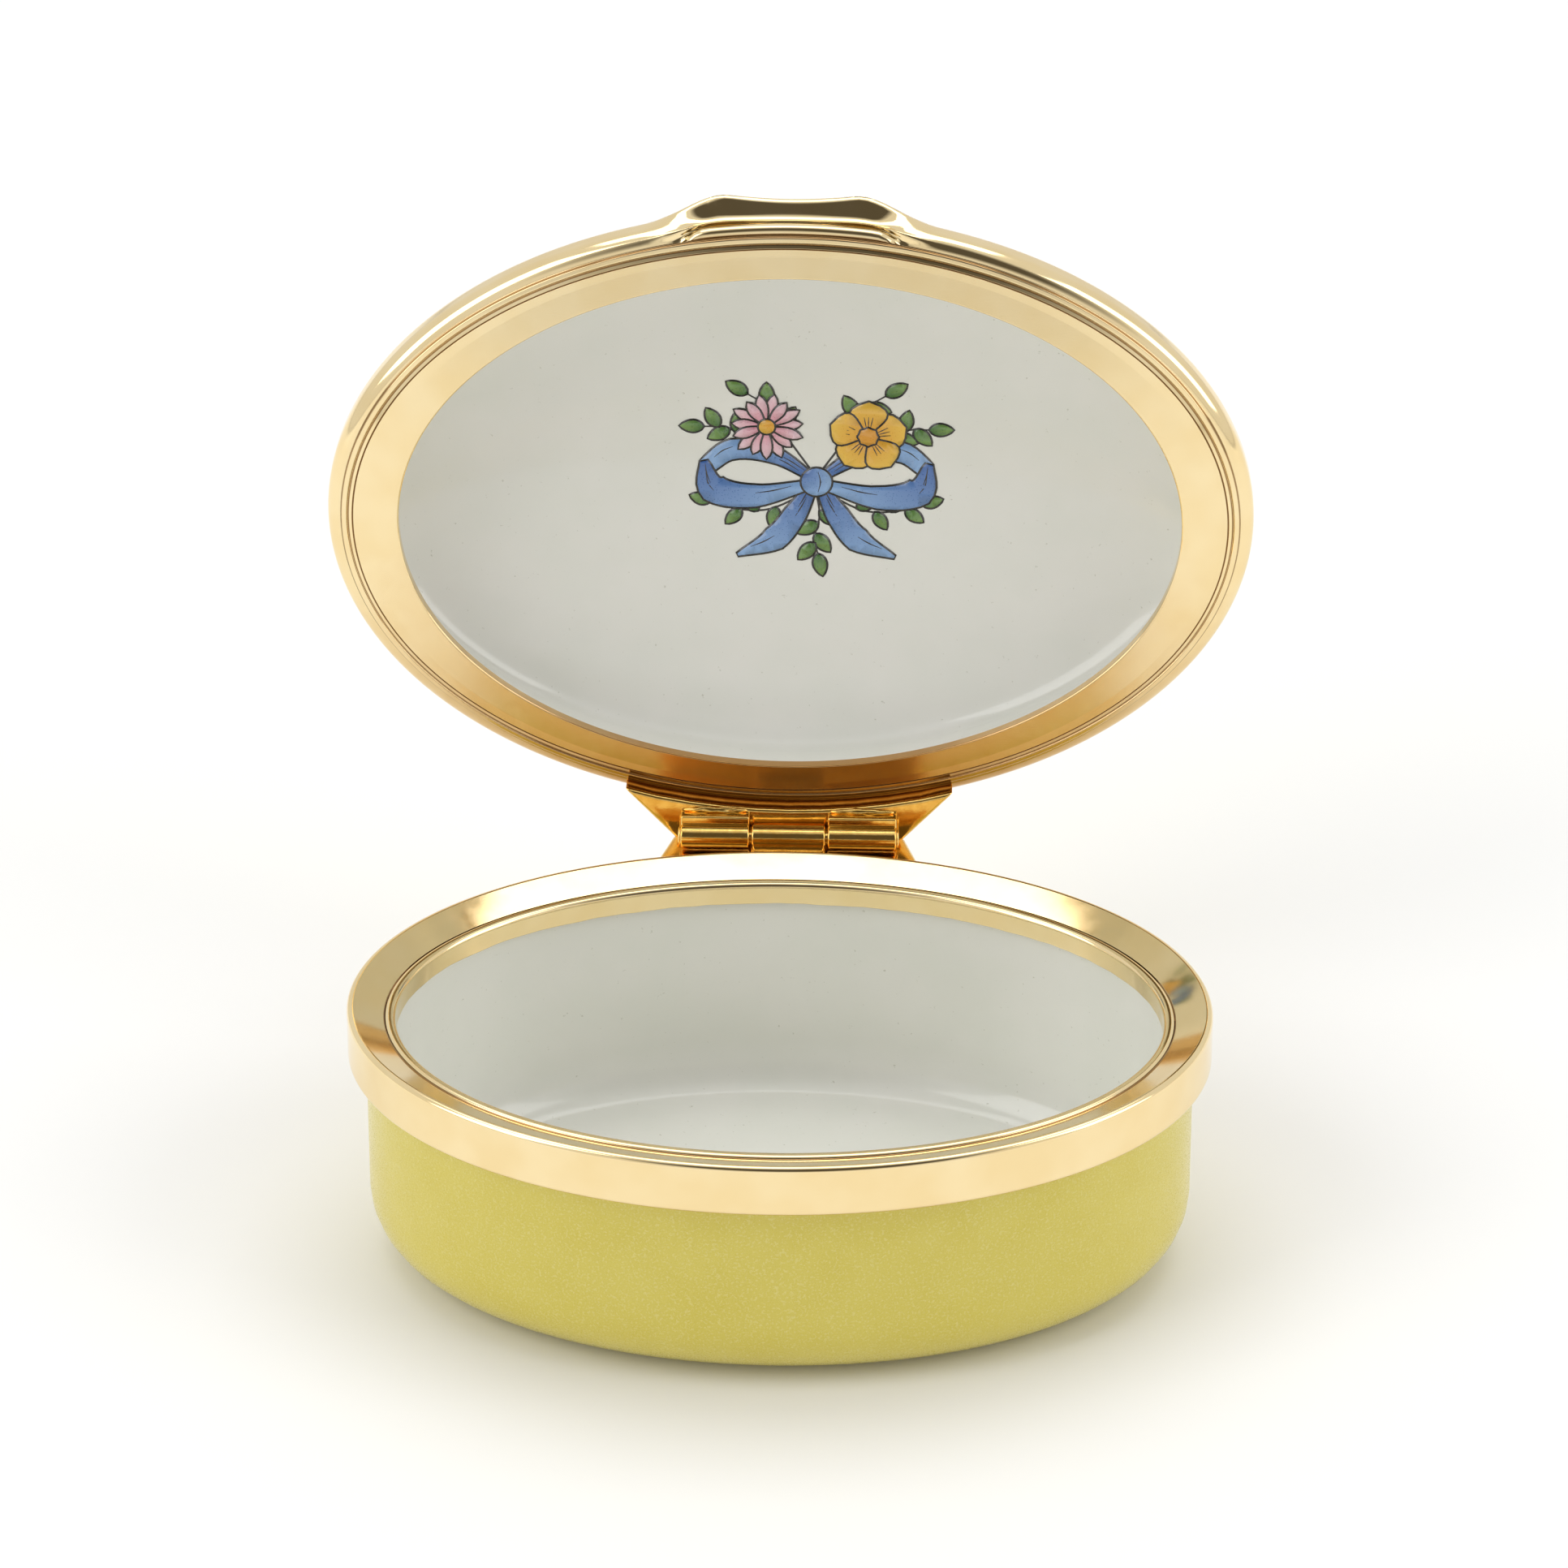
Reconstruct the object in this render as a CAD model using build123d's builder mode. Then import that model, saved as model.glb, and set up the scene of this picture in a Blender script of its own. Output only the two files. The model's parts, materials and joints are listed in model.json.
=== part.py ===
"""Oval enamelled pill box: a copper base and lid under fired enamel, each held in a
gilt brass bezel, joined at the back by a three-knuckle hinge and stored standing open.

Millimetres. The origin is the centre of the base's underside. +Z is up, -Y is the front
with the thumb piece, and the hinge line runs along X behind the box."""
from build123d import *
import os

# ---- the box as a whole -------------------------------------------------------------
oval_width = 52.3          # over the base bezel, along X
oval_depth = 35.3          # over the base bezel, along Y
base_height = 17.0         # underside to the outer edge of the base rim
lid_open_angle = 94.0      # from shut to the open stop

# ---- the enamelled walls, from the outside in ---------------------------------------
outer_enamel_wall = 0.45
base_copper_wall = 0.6     # heavy, so that the box stands with its lid open
lid_copper_wall = 0.3
inner_enamel_wall = 0.4
base_shell_wall = outer_enamel_wall + base_copper_wall + inner_enamel_wall
lid_shell_wall = outer_enamel_wall + lid_copper_wall + inner_enamel_wall
base_corner_radius = 4.4   # round between the side and the underside

# ---- base bezel: how far each line of its section stands in from the outside --------
base_band_height = 3.4
base_band_edge_radius = 0.3
base_shell_inset = 1.1     # outside of the enamel, under the band
rim_flat = 0.1             # level line between the rounded edge and the land
land_width = 1.85          # sloping face that the lid closes on
land_drop = 0.8
lip_width = 0.7            # rounded bead and inner lip, inside the land
lip_height = 1.45
lip_edge_radius = 0.3
lip_stand = 0.12           # bead above the foot of the land
rim_roof = 0.5             # metal between the land and the enamel's top edge

# ---- cement that beds each enamelled shell in its bezel -----------------------------
cement_layer = 0.3
cement_bed = 0.2
cement_cover = 0.6         # band metal left below or above the cement

# ---- lid ----------------------------------------------------------------------------
parting_gap = 0.4          # air between the base rim and the lid's turned line when shut
lid_overhang = 0.82        # fine turned line on the lid's land, out from the base band
lid_land_width = 2.87      # from that line in to the mouth, at the two ends
lid_land_depth = 1.85      # the same, at front and back
lid_land_rise = 0.4
lid_lip_height = 0.35      # inner wall of the mouth, above the line
lid_chamfer = 0.45         # from the line out to the foot of the band
lid_chamfer_rise = 0.3
chamfer_drawn = 1.5        # chamfer as drawn over chamfer as seen
lid_band_bulge = 1.15      # round of the band, top and bottom
lid_band_height = 2.85
lid_shell_inset = 2.05     # outside of the enamel, in from the widest line of the band
lid_shoulder = 1.9         # straight side of the shell before it domes
lid_dome_height = 4.9      # from the shoulder to the crown, outside

# ---- thumb piece on the front of the lid band ---------------------------------------
thumb_root_width = 16.4    # where it runs into the band
thumb_lobe_pitch = 8.0     # between the two lobes
thumb_reach = 0.8          # lobes beyond the band
thumb_dip = 0.28           # hollow between the lobes
thumb_thickness = 1.2
thumb_edge_radius = 0.3
thumb_scoop_length = 14.0  # hollow under the lip, for a thumbnail
thumb_scoop_height = 2.3
thumb_scoop_depth = 1.5    # from its middle, which stands out from the band
thumb_scoop_stand = 0.65
thumb_scoop_drop = 0.85    # its middle below the lip

# ---- hinge --------------------------------------------------------------------------
knuckle_radius = 0.75
knuckle_gap = 0.15         # side play between neighbouring knuckles
centre_knuckle_length = 4.6
side_knuckle_length = 4.3
hinge_setback = 3.35       # hinge line behind the base band
hinge_drop = 1.16          # hinge line below the rim's outer edge
pin_radius = 0.4
pin_running_clearance = 0.03
pin_head_stand = 0.15      # spread ends of the pin, outside the knuckles
pin_head_radius = 0.6
leaf_clearance = 0.12      # plate to the knuckles that turn past it
leaf_parting = 0.1         # leaf to the plane through the hinge line
leaf_reach = 1.3           # lid leaves, forward of the hinge line
leaf_corner_radius = 0.25
base_leaf_reach = 2.6
base_plate_thickness = 1.05
base_plate_width = 18.6    # at the band
base_plate_tip_width = 14.4
base_plate_heel = 1.6      # shelf behind the hinge line that stops the open lid
lid_plate_height = 2.5
lid_plate_width = 20.6
lid_plate_tip_width = 14.2
lid_plate_heel = 0.65      # edge that comes down on the base plate's shelf
plate_corner_radius = 0.25
plate_root = 1.6           # plates start this far inside the band, then are cut to it

# ---- worked out ---------------------------------------------------------------------
half_width = oval_width / 2
half_depth = oval_depth / 2
band_bottom = base_height - base_band_height
land_foot = base_height - land_drop
rim_inset = base_band_edge_radius + rim_flat
base_land_inset = rim_inset + land_width
base_mouth_inset = base_land_inset + lip_width
base_shell_top = land_foot - rim_roof - cement_bed
hinge_y = half_depth + hinge_setback
hinge_z = base_height - hinge_drop
plate_offset = knuckle_radius + leaf_clearance
hinge_length = centre_knuckle_length + 2 * (knuckle_gap + side_knuckle_length)

lid_line_z = base_height + parting_gap
lid_line_width = half_width + lid_overhang
lid_line_depth = half_depth + lid_overhang
lid_mouth_width = lid_line_width - lid_land_width
lid_mouth_depth = lid_line_depth - lid_land_depth
lid_land_foot = lid_line_z - lid_land_rise
lid_seat_z = lid_line_z + lid_lip_height
lid_band_foot = lid_line_z + lid_chamfer_rise
lid_band_top = lid_band_foot + lid_band_height
lid_band_width = lid_line_width + lid_chamfer + lid_band_bulge
lid_band_depth = lid_line_depth + lid_chamfer + lid_band_bulge
lid_shell_bottom = lid_seat_z + cement_bed
lid_shoulder_z = lid_shell_bottom + lid_shoulder

hinge_line = Axis((0, hinge_y, hinge_z), (1, 0, 0))


def oval_prism(long_radius, short_radius, low, high):
    """A straight-sided oval block from low to high."""
    with BuildPart() as prism:
        with BuildSketch(Plane.XY.offset(low)):
            Ellipse(long_radius, short_radius)
        extrude(amount=high - low)
    return prism.part


def base_oval(inset, low, high):
    """An oval block that stands in from the outside of the base bezel."""
    return oval_prism(half_width - inset, half_depth - inset, low, high)


def lid_oval(inset, low, high):
    """An oval block that stands in from the widest line of the lid band."""
    return oval_prism(lid_band_width - inset, lid_band_depth - inset, low, high)


def oval_stack(levels):
    """A block with straight sloping sides through ovals given as (long, short, height)."""
    with BuildPart() as stack:
        for long_radius, short_radius, height in levels:
            with BuildSketch(Plane.XY.offset(height)):
                Ellipse(long_radius, short_radius)
        loft(ruled=True)
    return stack.part


def base_cup(skin):
    """The base's outside shape, taken in by a thickness of skin on sides and floor."""
    with BuildPart() as cup:
        with BuildSketch(Plane.XY.offset(skin)):
            Ellipse(half_width - base_shell_inset - skin, half_depth - base_shell_inset - skin)
        extrude(amount=base_shell_top - skin)
        fillet(cup.edges().group_by(Axis.Z)[0], base_corner_radius - skin)
    return cup.part


def lid_dome(skin):
    """The lid's outside shape, taken in by a thickness of skin on side and crown.

    It is turned round at a radius of one and then drawn out into an oval."""
    with BuildPart() as dome:
        with BuildSketch(Plane.XZ):
            with BuildLine():
                crown = EllipticalCenterArc(
                    (0, lid_shoulder_z), 1, lid_dome_height - skin, start_angle=0, arc_size=90)
                Polyline(crown @ 1, (0, lid_shell_bottom), (1, lid_shell_bottom), crown @ 0)
            make_face()
        revolve(axis=Axis.Z)
        long_radius = lid_band_width - lid_shell_inset - skin
        short_radius = lid_band_depth - lid_shell_inset - skin
        scale(by=(long_radius, short_radius, 1))
    return dome.part


def hinge_barrel(middle, length):
    """A solid knuckle on the hinge line, centred at middle along X."""
    with BuildPart() as barrel:
        with BuildSketch(Plane.YZ.offset(middle - length / 2)):
            with Locations((hinge_y, hinge_z)):
                Circle(knuckle_radius)
        extrude(amount=length)
    return barrel.part


def hinge_plate_blank(root_width, tip_width, root_y, tip_y, low, high):
    """A plate that narrows from the band towards its free edge."""
    with BuildPart() as plate:
        with BuildSketch(Plane.XY.offset(low)) as outline:
            with BuildLine():
                Polyline(
                    (-root_width / 2, root_y),
                    (root_width / 2, root_y),
                    (tip_width / 2, tip_y),
                    (-tip_width / 2, tip_y),
                    close=True,
                )
            make_face()
            fillet(outline.vertices().group_by(Axis.Y)[-1], plate_corner_radius)
        extrude(amount=high - low)
    return plate.part


# ---- base shell: three nested skins --------------------------------------------------
with BuildPart() as base_outer_enamel:
    add(base_cup(0))
    add(base_cup(outer_enamel_wall), mode=Mode.SUBTRACT)
base_outer_enamel.part.label = "base_outer_enamel"

with BuildPart() as base_copper_body:
    add(base_cup(outer_enamel_wall))
    add(base_cup(outer_enamel_wall + base_copper_wall), mode=Mode.SUBTRACT)
base_copper_body.part.label = "base_copper_body"

with BuildPart() as base_inner_enamel:
    add(base_cup(outer_enamel_wall + base_copper_wall))
    add(base_cup(base_shell_wall), mode=Mode.SUBTRACT)
base_inner_enamel.part.label = "base_inner_enamel"

# ---- base bezel: outer band, sloping land, bead and inner lip --------------------------
lip_outer_inset = base_shell_inset + base_shell_wall
cement_low = band_bottom + cement_cover
cement_inset = base_shell_inset - cement_layer

rim_roof_z = base_shell_top + cement_bed
lip_foot = land_foot + lip_stand - lip_height

with BuildPart() as bead:
    add(base_oval(base_land_inset, rim_roof_z, land_foot + lip_stand))
    add(base_oval(base_mouth_inset, rim_roof_z, land_foot + lip_stand), mode=Mode.SUBTRACT)
    fillet(bead.edges().group_by(Axis.Z)[-1], lip_edge_radius)

with BuildPart() as base_channel:
    add(base_oval(base_shell_inset, band_bottom, rim_roof_z))
    add(base_oval(cement_inset, cement_low, rim_roof_z))
    add(base_oval(lip_outer_inset, band_bottom, rim_roof_z), mode=Mode.SUBTRACT)

# the sloping cut that makes the land runs on above the rim at the same slope
land_cut = oval_stack([
    (half_width - base_land_inset, half_depth - base_land_inset, land_foot),
    (half_width - rim_inset + land_width, half_depth - rim_inset + land_width,
     base_height + land_drop)])

with BuildPart() as base_bezel:
    add(base_oval(0, band_bottom, base_height))
    fillet(base_bezel.edges().group_by(Axis.Z)[0], base_band_edge_radius)
    fillet(base_bezel.edges().group_by(Axis.Z)[-1], base_band_edge_radius)
    add(land_cut, mode=Mode.SUBTRACT)
    add(bead.part)
    add(base_oval(base_mouth_inset, band_bottom, base_height), mode=Mode.SUBTRACT)
    add(base_oval(lip_outer_inset, band_bottom, lip_foot), mode=Mode.SUBTRACT)
    add(base_channel.part, mode=Mode.SUBTRACT)
base_bezel.part.label = "base_bezel"

with BuildPart() as base_cement:
    add(base_oval(cement_inset, cement_low, rim_roof_z))
    add(base_oval(lip_outer_inset, cement_low, rim_roof_z), mode=Mode.SUBTRACT)
    add(base_cup(0), mode=Mode.SUBTRACT)
base_cement.part.label = "base_cement"

# ---- base half of the hinge: a shelf behind the band with the centre knuckle on it -----
base_plate_top = hinge_z - plate_offset

with BuildPart() as base_hinge_plate:
    add(hinge_plate_blank(
        base_plate_width, base_plate_tip_width, half_depth - plate_root,
        hinge_y + base_plate_heel, base_plate_top - base_plate_thickness, base_plate_top))
    add(base_oval(0, band_bottom, base_height), mode=Mode.SUBTRACT)
base_hinge_plate.part.label = "base_hinge_plate"

with BuildPart() as base_knuckle:
    add(hinge_barrel(0, centre_knuckle_length))
    with BuildSketch(Plane.YZ.offset(-centre_knuckle_length / 2)):
        with Locations((hinge_y - base_leaf_reach, base_plate_top)):
            Rectangle(
                base_leaf_reach, plate_offset - leaf_parting, align=(Align.MIN, Align.MIN))
    extrude(amount=centre_knuckle_length)
    with BuildSketch(Plane.YZ.offset(-centre_knuckle_length / 2)):
        with Locations((hinge_y, hinge_z)):
            Circle(pin_radius + pin_running_clearance)
    extrude(amount=centre_knuckle_length, mode=Mode.SUBTRACT)
base_knuckle.part.label = "base_knuckle"

# ---- lid, drawn shut: shell of three nested skins --------------------------------------
with BuildPart() as lid_outer_enamel:
    add(lid_dome(0))
    add(lid_dome(outer_enamel_wall), mode=Mode.SUBTRACT)

with BuildPart() as lid_copper_dome:
    add(lid_dome(outer_enamel_wall))
    add(lid_dome(outer_enamel_wall + lid_copper_wall), mode=Mode.SUBTRACT)

with BuildPart() as lid_inner_enamel:
    add(lid_dome(outer_enamel_wall + lid_copper_wall))
    add(lid_dome(lid_shell_wall), mode=Mode.SUBTRACT)


# ---- lid bezel: land, chamfer, round band, thumb piece, seat for the shell --------------
def lid_bezel_outside():
    """The lid bezel's outside, filled in.

    The chamfer is drawn longer than it shows, so that its end lies inside the band."""
    chamfer_run = lid_chamfer * chamfer_drawn
    with BuildPart() as outside:
        add(lid_oval(0, lid_band_foot, lid_band_top))
        fillet(outside.edges().group_by(Axis.Z)[0], lid_band_bulge)
        fillet(outside.edges().group_by(Axis.Z)[-1], lid_band_bulge)
        add(oval_stack([
            (lid_mouth_width, lid_mouth_depth, lid_land_foot),
            (lid_line_width, lid_line_depth, lid_line_z),
            (lid_line_width + chamfer_run, lid_line_depth + chamfer_run,
             lid_line_z + lid_chamfer_rise * chamfer_drawn)]))
    return outside.part


def thumb_piece():
    """A two-lobed lip, flush with the top of the band, hollowed below for a thumbnail."""
    lobe_y = -(lid_band_depth + thumb_reach)
    root_x = thumb_root_width / 2
    root_y = -lid_band_depth * (1 - (root_x / lid_band_width) ** 2) ** 0.5
    flank = ((root_x + thumb_lobe_pitch / 2) / 2, (root_y + lobe_y) / 2)
    with BuildPart() as lip:
        with BuildSketch(Plane.XY.offset(lid_band_top - thumb_thickness)):
            with BuildLine():
                front = Spline(
                    (-root_x, root_y),
                    (-flank[0], flank[1]),
                    (-thumb_lobe_pitch / 2, lobe_y),
                    (0, lobe_y + thumb_dip),
                    (thumb_lobe_pitch / 2, lobe_y),
                    flank,
                    (root_x, root_y),
                )
                Polyline(
                    front @ 1,
                    (root_x, root_y + lid_band_bulge),
                    (-root_x, root_y + lid_band_bulge),
                    front @ 0,
                )
            make_face()
        extrude(amount=thumb_thickness)
        rim = lip.edges().filter_by(lambda edge: edge.length > thumb_root_width)
        fillet(rim.sort_by(Axis.Y)[:2], thumb_edge_radius)
    return lip.part


def thumb_scoop():
    """The hollow under the thumb piece, a long oval dip into the band."""
    with BuildPart() as dip:
        Sphere(1, rotation=(0, 90, 0))
        scale(by=(thumb_scoop_length / 2, thumb_scoop_depth, thumb_scoop_height / 2))
    scoop_y = -(lid_band_depth + thumb_scoop_stand)
    scoop_z = lid_band_top - thumb_thickness - thumb_scoop_drop
    return dip.part.moved(Location((0, scoop_y, scoop_z)))


lid_cement_inset = lid_shell_inset - cement_layer
lid_cement_top = lid_band_top - cement_cover
lid_enamel_inset = lid_shell_inset + lid_shell_wall

with BuildPart() as lid_bezel:
    add(lid_bezel_outside())
    add(thumb_piece())
    add(thumb_scoop(), mode=Mode.SUBTRACT)
    add(oval_prism(lid_mouth_width, lid_mouth_depth, lid_land_foot, lid_seat_z), mode=Mode.SUBTRACT)
    add(lid_oval(lid_cement_inset, lid_seat_z, lid_cement_top), mode=Mode.SUBTRACT)
    add(lid_dome(0), mode=Mode.SUBTRACT)

with BuildPart() as lid_cement:
    add(lid_oval(lid_cement_inset, lid_seat_z, lid_cement_top))
    add(lid_oval(lid_enamel_inset, lid_seat_z, lid_cement_top), mode=Mode.SUBTRACT)
    add(lid_dome(0), mode=Mode.SUBTRACT)

# ---- lid half of the hinge: a plate behind the band with a knuckle at each end -----------
lid_plate_low = hinge_z + plate_offset

with BuildPart() as lid_hinge_plate:
    add(hinge_plate_blank(
        lid_plate_width, lid_plate_tip_width, lid_band_depth - plate_root,
        hinge_y + lid_plate_heel, lid_plate_low, lid_plate_low + lid_plate_height))
    add(lid_bezel_outside(), mode=Mode.SUBTRACT)


def lid_knuckle(middle):
    """A side knuckle and the leaf that carries it on the lid's hinge plate."""
    with BuildPart() as knuckle:
        add(hinge_barrel(middle, side_knuckle_length))
        with BuildSketch(Plane.XY.offset(hinge_z + leaf_parting)) as leaf:
            with Locations((middle, hinge_y)):
                Rectangle(side_knuckle_length, leaf_reach, align=(Align.CENTER, Align.MAX))
            fillet(leaf.vertices().group_by(Axis.Y)[0], leaf_corner_radius)
        extrude(amount=plate_offset - leaf_parting)
        with BuildSketch(Plane.YZ.offset(middle - side_knuckle_length / 2)):
            with Locations((hinge_y, hinge_z)):
                Circle(pin_radius)
        extrude(amount=side_knuckle_length, mode=Mode.SUBTRACT)
    return knuckle.part


side_knuckle_middle = (centre_knuckle_length + side_knuckle_length) / 2 + knuckle_gap

with BuildPart() as lid_knuckle_left:
    add(lid_knuckle(-side_knuckle_middle))

with BuildPart() as lid_knuckle_right:
    add(lid_knuckle(side_knuckle_middle))

# ---- hinge pin: driven into the side knuckles, its ends spread over them -----------------
with BuildPart() as hinge_pin:
    with BuildSketch(Plane.YZ.offset(-hinge_length / 2)):
        with Locations((hinge_y, hinge_z)):
            Circle(pin_radius)
    extrude(amount=hinge_length)
    for end, way in ((-hinge_length / 2, -1), (hinge_length / 2, 1)):
        with BuildSketch(Plane.YZ.offset(end)):
            with Locations((hinge_y, hinge_z)):
                Circle(pin_head_radius)
        extrude(amount=way * pin_head_stand)

# ---- the lid is swung open for rest, and every piece is written ---------------------------
lid_pieces = {
    "lid_outer_enamel": lid_outer_enamel,
    "lid_copper_dome": lid_copper_dome,
    "lid_inner_enamel": lid_inner_enamel,
    "lid_bezel": lid_bezel,
    "lid_cement": lid_cement,
    "lid_hinge_plate": lid_hinge_plate,
    "lid_knuckle_left": lid_knuckle_left,
    "lid_knuckle_right": lid_knuckle_right,
    "hinge_pin": hinge_pin,
}
base_pieces = (
    base_outer_enamel,
    base_copper_body,
    base_inner_enamel,
    base_bezel,
    base_cement,
    base_hinge_plate,
    base_knuckle,
)

os.makedirs("parts", exist_ok=True)
for piece in base_pieces:
    export_step(piece.part, f"parts/{piece.part.label}.step")
for name, piece in lid_pieces.items():
    open_part = piece.part.rotate(hinge_line, -lid_open_angle)
    open_part.label = name
    export_step(open_part, f"parts/{name}.step")
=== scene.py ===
"""An oval enamelled pill box standing open: a copper base and lid under fired enamel, each
held in a gilt brass rim, hinged at the back. Outlines are in millimetres, in the frame of
the CAD model; the lid is shaped shut, over the base, and then swung open on its hinge."""
import json
import math

import bmesh
import bpy
from mathutils import Matrix, Vector, noise


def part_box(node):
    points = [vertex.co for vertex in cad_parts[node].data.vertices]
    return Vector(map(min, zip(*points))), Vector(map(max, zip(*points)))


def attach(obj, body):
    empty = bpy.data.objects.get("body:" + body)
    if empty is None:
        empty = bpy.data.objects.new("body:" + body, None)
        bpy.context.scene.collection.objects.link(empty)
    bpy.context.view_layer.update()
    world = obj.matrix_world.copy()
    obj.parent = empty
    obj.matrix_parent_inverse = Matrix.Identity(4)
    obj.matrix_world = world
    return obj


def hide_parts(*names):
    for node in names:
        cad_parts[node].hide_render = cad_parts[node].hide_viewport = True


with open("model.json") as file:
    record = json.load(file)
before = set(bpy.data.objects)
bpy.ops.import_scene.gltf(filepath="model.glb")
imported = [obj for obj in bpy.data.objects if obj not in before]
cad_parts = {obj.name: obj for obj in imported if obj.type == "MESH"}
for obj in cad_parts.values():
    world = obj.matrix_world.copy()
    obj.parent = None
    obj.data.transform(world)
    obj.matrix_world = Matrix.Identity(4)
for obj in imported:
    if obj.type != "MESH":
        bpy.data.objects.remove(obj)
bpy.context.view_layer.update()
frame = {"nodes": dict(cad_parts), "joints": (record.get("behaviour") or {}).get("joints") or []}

# ==== base: coloured enamel ==========================================================
# The outside of the base is a copper cup dipped in ground glass and fired. The glass is
# glossy, with the grain of the ground colour showing in it and a faint ripple on top.
mm = 0.001
base_rim_low, base_rim_high = (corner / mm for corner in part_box("base_bezel"))
rim_width, rim_depth = base_rim_high.x, base_rim_high.y
coat_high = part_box("base_outer_enamel")[1] / mm
coat_inset = rim_width - coat_high.x
coat_wall = 0.45
corner_round = 4.4
floor_inset = 7.0            # further in than this the cups are flat
round_the_oval = 360         # steps of every turned piece
corner_steps = 7
corner_hold = 0.12           # share of a round, flat on each side of it, that keeps it crisp


def outline(corners, closed=False):
    """A line through corners given as (inset, height, round), with each round drawn in."""
    line = []
    for place, (inset, height, radius) in enumerate(corners):
        here = Vector((inset, height))
        at_end = not closed and place in (0, len(corners) - 1)
        if radius == 0 or at_end:
            line.append(here)
            continue
        back = (Vector(corners[place - 1][:2]) - here).normalized()
        ahead = (Vector(corners[(place + 1) % len(corners)][:2]) - here).normalized()
        half = back.angle(ahead) / 2
        start = here + back * radius / math.tan(half)
        end = here + ahead * radius / math.tan(half)
        centre = here + (back + ahead).normalized() * radius / math.sin(half)
        arm, last = start - centre, end - centre
        sweep = math.atan2(arm.x * last.y - arm.y * last.x, arm.dot(last))
        line.append(start + back * radius * corner_hold)
        for step in range(corner_steps + 1):
            turn = Matrix.Rotation(sweep * step / corner_steps, 2)
            line.append(centre + turn @ arm)
        line.append(end + ahead * radius * corner_hold)
    return line


def base_oval(inset, height):
    """Depth over width of the base's ovals. They keep the same distance from the rim all
    round, down to the flat floor, where they keep their shape."""
    inset = min(inset, floor_inset)
    return (rim_depth - inset) / (rim_width - inset)


def turn_oval(line, width, oval, closed=False):
    """The line turned about Z and drawn in to ovals. Each vertex keeps how far it stands
    in from the rim, in millimetres, and its place in the line."""
    ring = bmesh.new()
    across = ring.verts.layers.float.new("across")
    order = ring.verts.layers.int.new("order")
    verts = [ring.verts.new((width - inset, 0, height)) for inset, height in line]
    for place, vert in enumerate(verts):
        vert[order] = place
    edges = [ring.edges.new(pair) for pair in zip(verts, verts[1:])]
    if closed:
        edges.append(ring.edges.new((verts[-1], verts[0])))
    bmesh.ops.spin(
        ring, geom=verts + edges, axis=(0, 0, 1), cent=(0, 0, 0), angle=math.tau,
        steps=round_the_oval, use_merge=True)
    bmesh.ops.remove_doubles(ring, verts=ring.verts, dist=1e-5)
    bmesh.ops.recalc_face_normals(ring, faces=ring.faces)
    for vert in ring.verts:
        vert[across] = width - math.hypot(vert.co.x, vert.co.y)
        vert.co.y *= oval(vert[across], vert.co.z)
    return ring


def finish_piece(mesh_data, name, paints, body, slot, *nodes):
    """Turns a bmesh in millimetres into a piece of the object that rides on a body."""
    bmesh.ops.scale(mesh_data, vec=(mm, mm, mm), verts=mesh_data.verts)
    mesh = bpy.data.meshes.new(name)
    mesh_data.to_mesh(mesh)
    mesh_data.free()
    mesh.shade_smooth()
    for paint in paints:
        mesh.materials.append(paint.material)
    piece = bpy.data.objects.new(name, mesh)
    bpy.context.scene.collection.objects.link(piece)
    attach(piece, body)
    if nodes:
        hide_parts(*nodes)
    return piece


class Signal:
    """A number, colour or vector on its way through a paint. Sums on it add Math nodes."""

    def __init__(self, paint, socket):
        self.paint, self.socket = paint, socket

    def sum(self, operation, *values):
        return self.paint.node(
            "ShaderNodeMath", {"operation": operation}, dict(enumerate(values)))

    def __add__(self, other):
        return self.sum("ADD", self, other)

    def __sub__(self, other):
        return self.sum("SUBTRACT", self, other)

    def __rsub__(self, other):
        return self.sum("SUBTRACT", other, self)

    def __mul__(self, other):
        return self.sum("MULTIPLY", self, other)

    __radd__ = __add__
    __rmul__ = __mul__


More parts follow.
